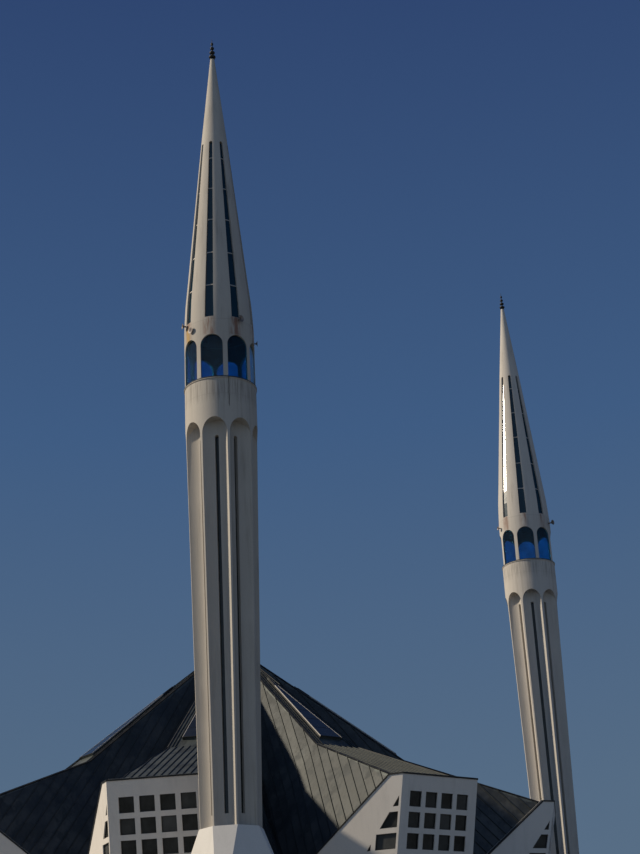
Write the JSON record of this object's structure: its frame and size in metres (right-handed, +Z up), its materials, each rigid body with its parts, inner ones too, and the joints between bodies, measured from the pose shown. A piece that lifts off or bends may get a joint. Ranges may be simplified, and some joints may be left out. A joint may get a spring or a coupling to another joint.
{
  "type": "mosque building, 1:2 scale model",
  "caption": "Hollow mosque hall of radiating wedge-shaped bays with lattice windows under a folded seamed roof, and a pair of tall fluted minarets with pointed spires.",
  "frame": {"origin": "on the ground, on the vertical centre line of the hall", "axes": "+Z up; -Y is the front, the side with the two minarets; +X to the right as seen from the front"},
  "size_m": [23.2392, 19.3618, 29],
  "materials": {
    "cast_concrete": "matt weathered cast concrete",
    "seamed_roof_metal": "dull grey-green seamed sheet metal",
    "window_glass": "dark glazing behind the lattice",
    "gallery_glass": "deep blue glazing",
    "floor_stone": "matt stone",
    "dark_metal": "dark weathered metal",
    "horn_paint": "light grey paint"
  },
  "bodies": {
    "root": {"bay_walls_1": "cast_concrete", "bay_roof_1": "seamed_roof_metal", "skylight_pane_1": "window_glass", "bay_glass_1": "window_glass", "bay_walls_2": "cast_concrete", "bay_roof_2": "seamed_roof_metal", "skylight_pane_2": "window_glass", "bay_glass_2": "window_glass", "bay_walls_3": "cast_concrete", "bay_roof_3": "seamed_roof_metal", "skylight_pane_3": "window_glass", "bay_glass_3": "window_glass", "bay_walls_4": "cast_concrete", "bay_roof_4": "seamed_roof_metal", "skylight_pane_4": "window_glass", "bay_glass_4": "window_glass", "bay_walls_5": "cast_concrete", "bay_roof_5": "seamed_roof_metal", "skylight_pane_5": "window_glass", "bay_glass_5": "window_glass", "bay_walls_6": "cast_concrete", "bay_roof_6": "seamed_roof_metal", "skylight_pane_6": "window_glass", "bay_glass_6": "window_glass", "bay_walls_7": "cast_concrete", "bay_roof_7": "seamed_roof_metal", "skylight_pane_7": "window_glass", "bay_glass_7": "window_glass", "bay_walls_8": "cast_concrete", "bay_roof_8": "seamed_roof_metal", "skylight_pane_8": "window_glass", "bay_glass_8": "window_glass", "hall_floor": "floor_stone", "roof_finial": "dark_metal", "minaret_left_pedestal": "cast_concrete", "minaret_left_shaft": "cast_concrete", "minaret_left_gallery": "cast_concrete", "minaret_left_gallery_glass": "gallery_glass", "minaret_left_spire": "cast_concrete", "minaret_left_spire_glass": "gallery_glass", "minaret_left_finial": "dark_metal", "minaret_left_loudspeaker_1": "horn_paint", "minaret_left_loudspeaker_2": "horn_paint", "minaret_left_loudspeaker_3": "horn_paint", "minaret_left_loudspeaker_4": "horn_paint", "minaret_right_pedestal": "cast_concrete", "minaret_right_shaft": "cast_concrete", "minaret_right_gallery": "cast_concrete", "minaret_right_gallery_glass": "gallery_glass", "minaret_right_spire": "cast_concrete", "minaret_right_spire_glass": "gallery_glass", "minaret_right_finial": "dark_metal", "minaret_right_loudspeaker_1": "horn_paint", "minaret_right_loudspeaker_2": "horn_paint"}
  },
  "joints": []
}
